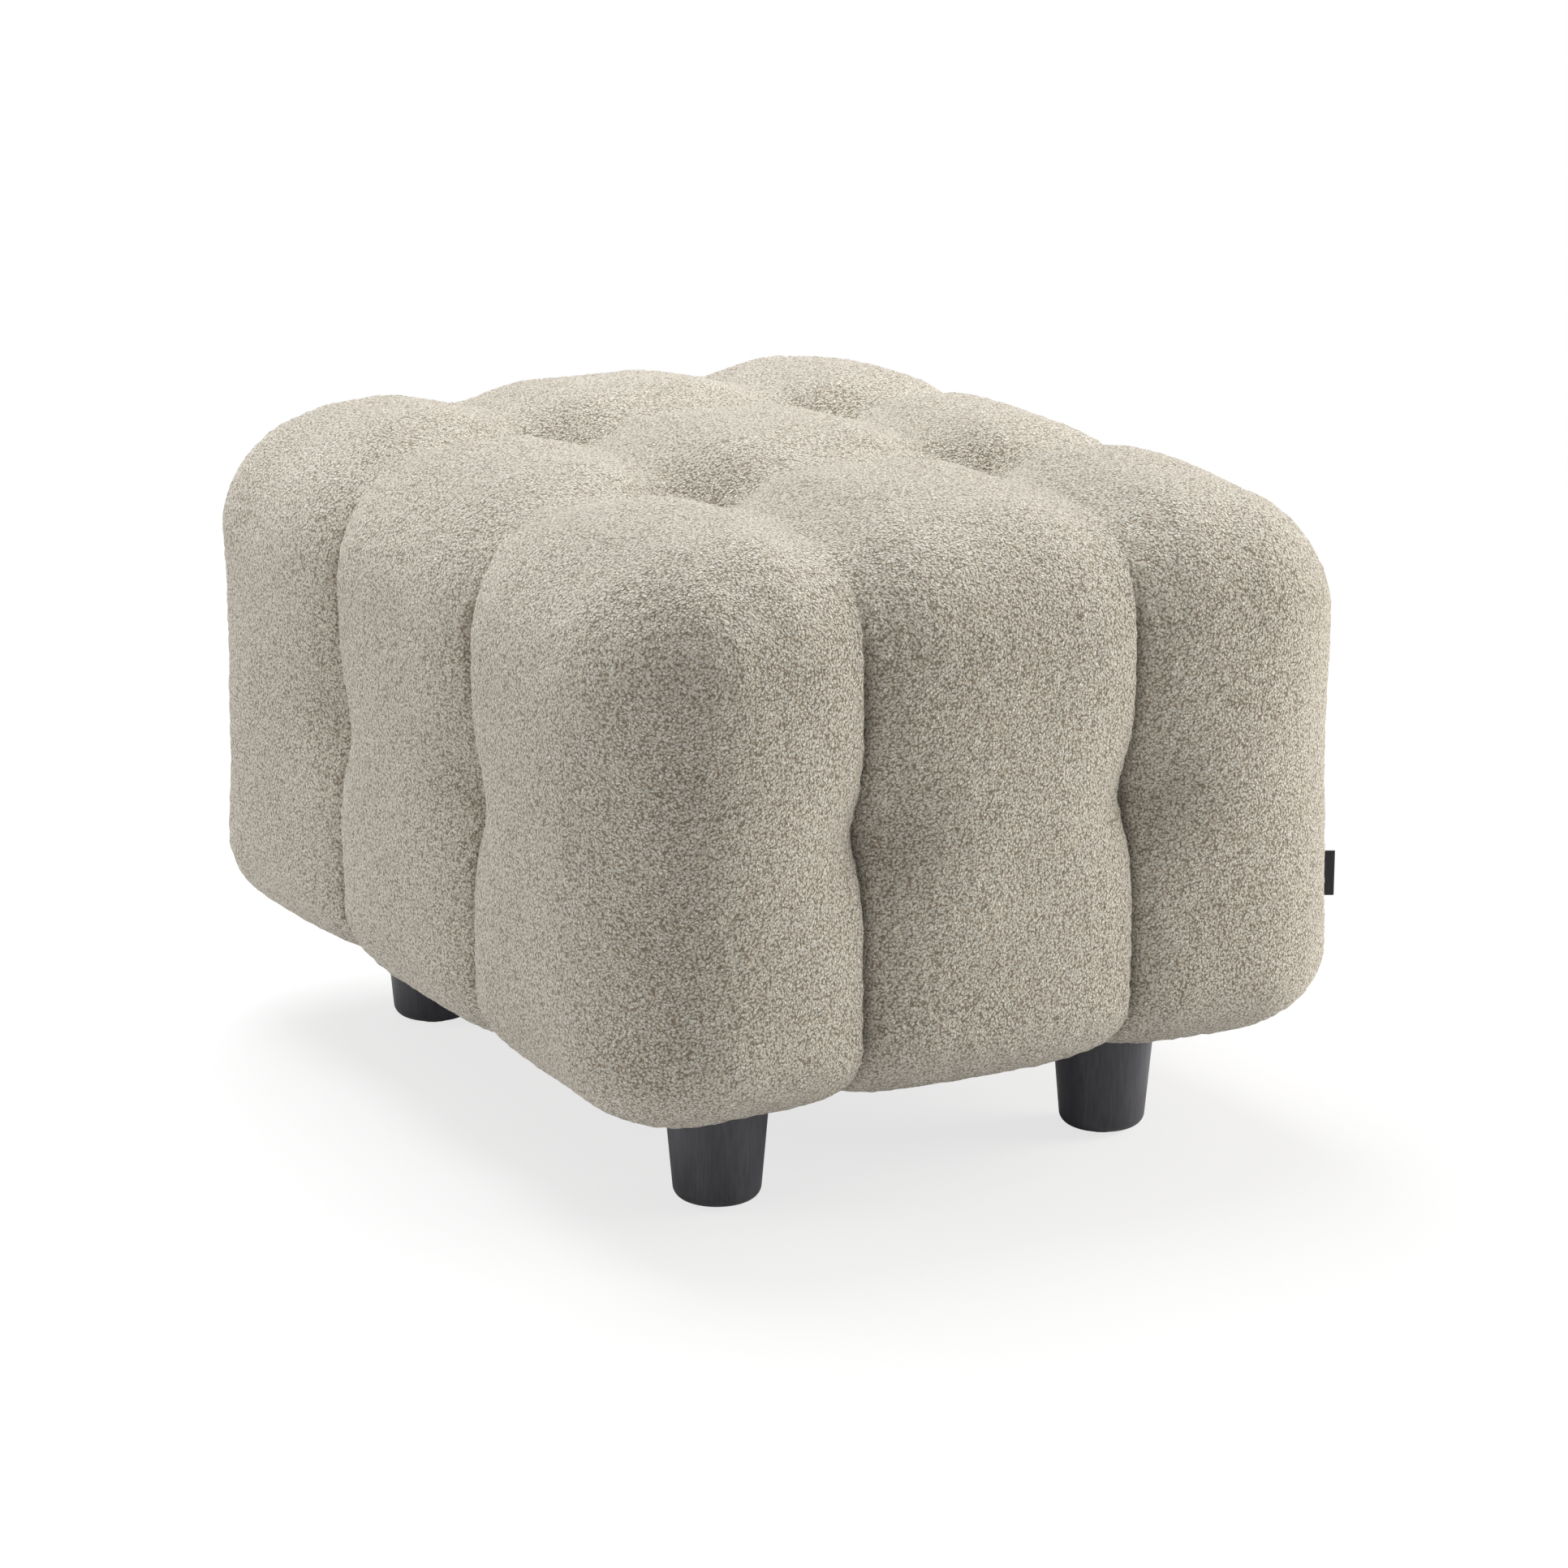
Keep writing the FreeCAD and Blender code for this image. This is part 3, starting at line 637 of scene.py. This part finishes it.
# %% [markdown]
# ## The dust cover
# A black non-woven cloth closes the underside. It is pulled flat and stapled, and hangs a little between its
# staples. It is a grid with a round hole for each leg. The faces that fall in a hole are left out, and the
# ragged edge this leaves is pushed out onto the circle.

# %% Stretch the dust cover
dust_low, dust_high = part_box("dust_cover")
leg_centres = [(sum(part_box("leg_" + name), Vector()) / 2).xy for name in
               ("front_left", "front_right", "back_left", "back_right")]
leg_reach = (high.x - low.x) / 2 + 0.002
xs = np.linspace(dust_low.x, dust_high.x, 81)
ys = np.linspace(dust_low.y, dust_high.y, 105)
grid_x, grid_y = [a.ravel() for a in np.meshgrid(xs, ys, indexing="ij")]
sag = 0.0015 * (1 - (grid_x / dust_high.x) ** 2) * (1 - (grid_y / dust_high.y) ** 2)
corner = np.arange(81 * 105).reshape(81, 105)
quads = np.stack([corner[:-1, :-1], corner[:-1, 1:], corner[1:, 1:], corner[1:, :-1]], axis=2).reshape(-1, 4)
for centre in leg_centres:
    away = np.hypot(grid_x[quads].mean(1) - centre.x, grid_y[quads].mean(1) - centre.y)
    quads = quads[away > leg_reach]
for centre in leg_centres:
    dx, dy = grid_x - centre.x, grid_y - centre.y
    away = np.hypot(dx, dy)
    inner = away < leg_reach + 0.0035
    grid_x[inner] = centre.x + dx[inner] / away[inner] * leg_reach
    grid_y[inner] = centre.y + dy[inner] / away[inner] * leg_reach
used, quads = np.unique(quads, return_inverse=True)
dust_points = np.column_stack([grid_x, grid_y, (dust_low.z + dust_high.z) / 2 - sag])[used]
dust_sheet = mesh_object("dust_sheet", dust_points, quads.reshape(-1, 4))
lining = cloth_material("black_nonwoven", (0.016, 0.016, 0.018), (0.050, 0.050, 0.054), 0.0011)
dust_sheet.data.materials.append(lining)
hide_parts("dust_cover")
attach(dust_sheet, "root")

# %% [markdown]
# ## Foam inside
# Five slabs of foam lie between the box and the quilted cover. Nobody sees them in the picture, but a stool
# opened for repair shows them, so each is a cut slab with softened edges and open pores. The pores are painted
# darker in their hollows, as painted shade.

# %% Cut the foam slabs
def foam():
    material, tree, place = new_material("cut_foam")
    pores = add_node(tree, "ShaderNodeTexVoronoi", {}, {"Vector": place, "Scale": 420.0}, "Distance")
    age = add_node(tree, "ShaderNodeTexNoise", {}, {"Vector": place, "Scale": 12.0, "Detail": 3.0}, "Fac")
    # The colour is darker in the hollow of each pore, as painted shade. The broad noise is the foam's own
    # uneven tone.
    colour = add_node(tree, "ShaderNodeValToRGB", {"stops": (
        (0.25, (0.78, 0.70, 0.50)),
        (0.75, (0.90, 0.86, 0.72)),
    )}, {"Fac": pores * 0.6 + age * 0.5}, "Color")
    finish_material(tree, colour, 0.95, pores, 0.0006)
    return material


def foam_slab(node, material, soft=0.006):
    """A slab in the place of a foam node, with softened edges."""
    low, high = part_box(node)
    middle, size = (low + high) / 2, high - low
    counts = [max(4, round(side / 0.03)) for side in size]
    points, faces, seen = [], [], {}
    for axis in range(3):
        a, b = [n for n in range(3) if n != axis]
        for end in (0, counts[axis]):
            for i in range(counts[a]):
                for j in range(counts[b]):
                    ring = []
                    for da, db in ((0, 0), (1, 0), (1, 1), (0, 1)):
                        key = [0, 0, 0]
                        key[axis], key[a], key[b] = end, i + da, j + db
                        if tuple(key) not in seen:
                            seen[tuple(key)] = len(points)
                            points.append([low[n] + size[n] * key[n] / counts[n] for n in range(3)])
                        ring.append(seen[tuple(key)])
                    faces.append(ring if (axis == 1) != (end > 0) else ring[::-1])
    slab = mesh_object("foam_of_" + node, points, faces)
    bevel = slab.modifiers.new("soften", "BEVEL")
    bevel.width, bevel.segments, bevel.limit_method, bevel.angle_limit = soft, 3, "ANGLE", 1.0
    slab.data.materials.append(material)
    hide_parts(node)
    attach(slab, "root")


cut_foam = foam()
for node in ("top_foam", "side_foam_right", "side_foam_left", "side_foam_back", "side_foam_front"):
    foam_slab(node, cut_foam)

# %% [markdown]
# ## Timber, board and hardware
# The frame keeps its CAD nodes, whose shapes are right, and only gets finishes. Grain runs along each piece,
# so one function makes the timber and is told which way it runs. Boards show fibres that lie every way.

# %% Finish the frame and the fixings
def timber(name, grain_scale, pale, dark):
    """Planed wood: a noise stretched along the grain for fibres, and a broader one for the rings."""
    material, tree, place = new_material(name)
    drawn = add_node(tree, "ShaderNodeMapping", {}, {"Vector": place, "Scale": grain_scale}, "Vector")
    fibres = add_node(tree, "ShaderNodeTexNoise", {}, {"Vector": drawn, "Scale": 420.0, "Detail": 4.0}, "Fac")
    rings = add_node(tree, "ShaderNodeTexNoise", {}, {"Vector": drawn, "Scale": 70.0, "Detail": 1.5}, "Fac")
    colour = add_node(tree, "ShaderNodeValToRGB", {"stops": ((0.30, dark), (0.72, pale))},
                      {"Fac": fibres * 0.45 + rings * 0.55}, "Color")
    finish_material(tree, colour, rings * 0.2 + 0.5, fibres, 0.0003)
    return material


def metal():
    material, tree, place = new_material("zinc_plated_steel")
    spots = add_node(tree, "ShaderNodeTexVoronoi", {}, {"Vector": place, "Scale": 260.0}, "Distance")
    dull = add_node(tree, "ShaderNodeTexNoise", {}, {"Vector": place, "Scale": 150.0, "Detail": 3.0}, "Fac")
    colour = add_node(tree, "ShaderNodeMix", {"data_type": "RGBA"}, {
        "Factor": dull, "A": (0.56, 0.57, 0.58, 1.0), "B": (0.74, 0.75, 0.76, 1.0)}, "Result")
    finish_material(tree, colour, dull * 0.2 + 0.25, spots, 0.00005, Metallic=1.0)
    return material


def moulded_plastic():
    material, tree, place = new_material("moulded_plastic")
    grainy = add_node(tree, "ShaderNodeTexNoise", {}, {"Vector": place, "Scale": 1400.0, "Detail": 2.0}, "Fac")
    scuffs = add_node(tree, "ShaderNodeTexNoise", {}, {"Vector": place, "Scale": 90.0, "Detail": 5.0}, "Fac")
    colour = add_node(tree, "ShaderNodeMix", {"data_type": "RGBA"}, {
        "Factor": scuffs, "A": (0.018, 0.018, 0.018, 1.0), "B": (0.050, 0.050, 0.050, 1.0)}, "Result")
    finish_material(tree, colour, scuffs * 0.25 + 0.4, grainy, 0.00008)
    return material


pine, pine_ring = (0.80, 0.62, 0.40), (0.55, 0.36, 0.19)
finishes = {
    "along_y": timber("timber_along_y", (1.0, 0.05, 1.0), pine, pine_ring),
    "along_x": timber("timber_along_x", (0.05, 1.0, 1.0), pine, pine_ring),
    "upright": timber("timber_upright", (1.0, 1.0, 0.05), pine, pine_ring),
    "plywood": timber("plywood", (1.0, 0.07, 1.0), (0.76, 0.60, 0.40), (0.60, 0.43, 0.26)),
    "fibreboard": timber("fibreboard", (0.8, 0.8, 0.8), (0.40, 0.27, 0.17), (0.28, 0.18, 0.11)),
    "steel": metal(),
    "plastic": moulded_plastic(),
    "twine": cloth_material("waxed_twine", (0.50, 0.44, 0.34), (0.82, 0.77, 0.66), 0.0008),
    "felt": cloth_material("grey_felt", (0.22, 0.21, 0.20), (0.42, 0.41, 0.39), 0.0009, 0.95),
}


def finish_of(node):
    """The finish of a CAD node that stays in view, from its name and its longest side."""
    for words, finish in (("staples", "steel"), ("nuts", "steel"), ("bolts", "steel"), ("glides", "plastic"),
                          ("ties", "twine"), ("patches", "felt"), ("deck", "plywood"), ("panel", "fibreboard")):
        if words in node:
            return finishes[finish]
    low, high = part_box(node)
    size = high - low
    return finishes[("along_x", "along_y", "upright")[max(range(3), key=lambda n: size[n])]]


for node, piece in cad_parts.items():
    if not piece.hide_render:
        piece.data.materials.clear()
        piece.data.materials.append(finish_of(node))

# %% [markdown]
# ## Floor, light and camera
# The picture is a plain product shot: a white floor that runs into a white background, a wide soft light from
# above and behind, and a warmer one at each side. The side lights graze the faces that the camera sees, so
# the loops stand out and each pillow is brightest at its edge. The floor glows to the camera alone, more so
# away from the stool, which whitens it and keeps the stool's shadow.

# %% Set up the studio
def studio_floor():
    floor = mesh_object("studio_floor", [(-9, -9, 0), (9, -9, 0), (9, 9, 0), (-9, 9, 0)], [(0, 1, 2, 3)], False)
    material = bpy.data.materials.new("white_floor")
    material.use_nodes = True
    tree = material.node_tree
    tree.nodes.clear()
    seen = add_node(tree, "ShaderNodeLightPath", {}, {}, "Is Camera Ray")
    paint = add_node(tree, "ShaderNodeBsdfDiffuse", {}, {"Color": (0.86, 0.86, 0.86, 1.0)})
    glow = add_node(tree, "ShaderNodeEmission", {}, {"Color": (1.0, 1.0, 1.0, 1.0), "Strength": 1.0})
    place = add_node(tree, "ShaderNodeTexCoord", output="Object")
    away = add_node(tree, "ShaderNodeVectorMath", {"operation": "LENGTH"}, {0: place}, "Value")
    share = 0.74 + ((away - 0.5) * 0.5).clamped() * 0.26
    add_node_output(tree, add_node(tree, "ShaderNodeMixShader", {}, {0: seen * share, 1: paint, 2: glow}))
    floor.data.materials.append(material)


def soft_light(name, place, size, power, colour=(1.0, 1.0, 1.0)):
    """A square soft box that faces the stool."""
    data = bpy.data.lights.new(name, "AREA")
    data.shape, data.size, data.energy, data.color = "SQUARE", size, power, colour
    lamp = bpy.data.objects.new(name, data)
    bpy.context.scene.collection.objects.link(lamp)
    lamp.location = place
    lamp.rotation_euler = (Vector((0, 0, 0.25)) - Vector(place)).to_track_quat("-Z", "Y").to_euler()


def backdrop(fill):
    """A white background for the camera and a quieter fill light for everything else."""
    world = bpy.data.worlds.new("studio")
    bpy.context.scene.world = world
    world.use_nodes = True
    tree = world.node_tree
    tree.nodes.clear()
    seen = add_node(tree, "ShaderNodeLightPath", {}, {}, "Is Camera Ray")
    light = add_node(tree, "ShaderNodeBackground", {}, {
        "Color": (1.0, 1.0, 1.0, 1.0), "Strength": seen * (1 - fill) + fill})
    output = tree.nodes.new("ShaderNodeOutputWorld")
    tree.links.new(light.socket, output.inputs["Surface"])


studio_floor()
backdrop(0.34)
soft_light("overhead", (-0.1, 0.8, 2.5), 2.0, 86, (0.98, 0.99, 1.0))
soft_light("side_left", (-2.4, 1.1, 0.9), 1.4, 18, (1.0, 0.97, 0.92))
soft_light("side_right", (2.5, -1.1, 0.9), 1.4, 76, (1.0, 0.97, 0.92))
bpy.context.scene.view_settings.view_transform = "Standard"

# %% Place the camera
turn_of_view, tilt = math.radians(28.99), math.radians(15.4)
sideways, distance, eye_height = 0.0185, 2.9736, 1.0158
eye = bpy.data.cameras.new("product_view")
eye.sensor_width, eye.lens = 36, 108.2
camera = bpy.data.objects.new("product_view", eye)
bpy.context.scene.collection.objects.link(camera)
camera.location = (sideways * math.cos(turn_of_view) - distance * math.sin(turn_of_view),
                   -sideways * math.sin(turn_of_view) - distance * math.cos(turn_of_view), eye_height)
ahead = Vector((math.sin(turn_of_view), math.cos(turn_of_view), 0)) * math.cos(tilt)
looking = ahead - Vector((0, 0, math.sin(tilt)))
camera.rotation_euler = looking.to_track_quat("-Z", "Y").to_euler()
bpy.context.scene.camera = camera
